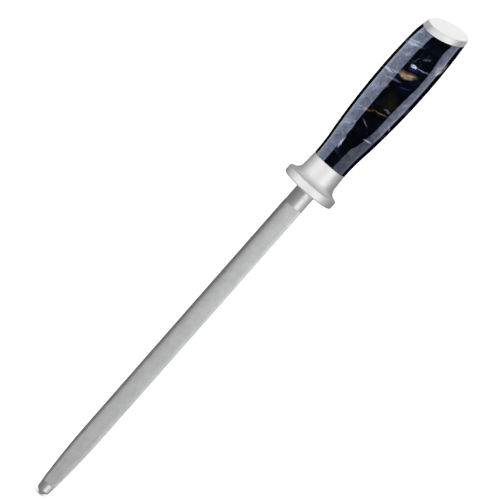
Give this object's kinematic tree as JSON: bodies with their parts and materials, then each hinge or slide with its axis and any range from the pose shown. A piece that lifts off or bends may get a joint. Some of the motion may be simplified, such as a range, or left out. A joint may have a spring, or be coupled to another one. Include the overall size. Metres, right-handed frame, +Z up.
{
  "type": "knife sharpening steel",
  "caption": "Round grit coated sharpening steel with a flared steel guard, a glossy dark blue resin handle and a slanted steel end cap.",
  "frame": {"origin": "centre of the flat guard face that the rod comes out of", "axes": "+Z up through the handle along the rod's axis, -Z down the rod to the nose, -Y the side the slanted end cap faces"},
  "size_m": [0.037, 0.037, 0.3915],
  "materials": {
    "rod_steel": "polished",
    "grit_coat": "matt grit plating",
    "satin_steel": "satin",
    "pearl_resin": "polished",
    "epoxy": "matt",
    "fastener_steel": "zinc plated"
  },
  "bodies": {
    "root": {"rod_core": "rod_steel", "abrasive_coat": "grit_coat", "guard_bolster": "satin_steel", "bolster_dowels": "fastener_steel", "handle_grip": "pearl_resin", "grip_bedding": "epoxy", "tang_washer": "fastener_steel", "lock_washer": "fastener_steel", "tang_nut": "fastener_steel", "end_cap": "satin_steel", "cap_bedding": "epoxy", "cap_dowels": "fastener_steel"}
  },
  "joints": []
}
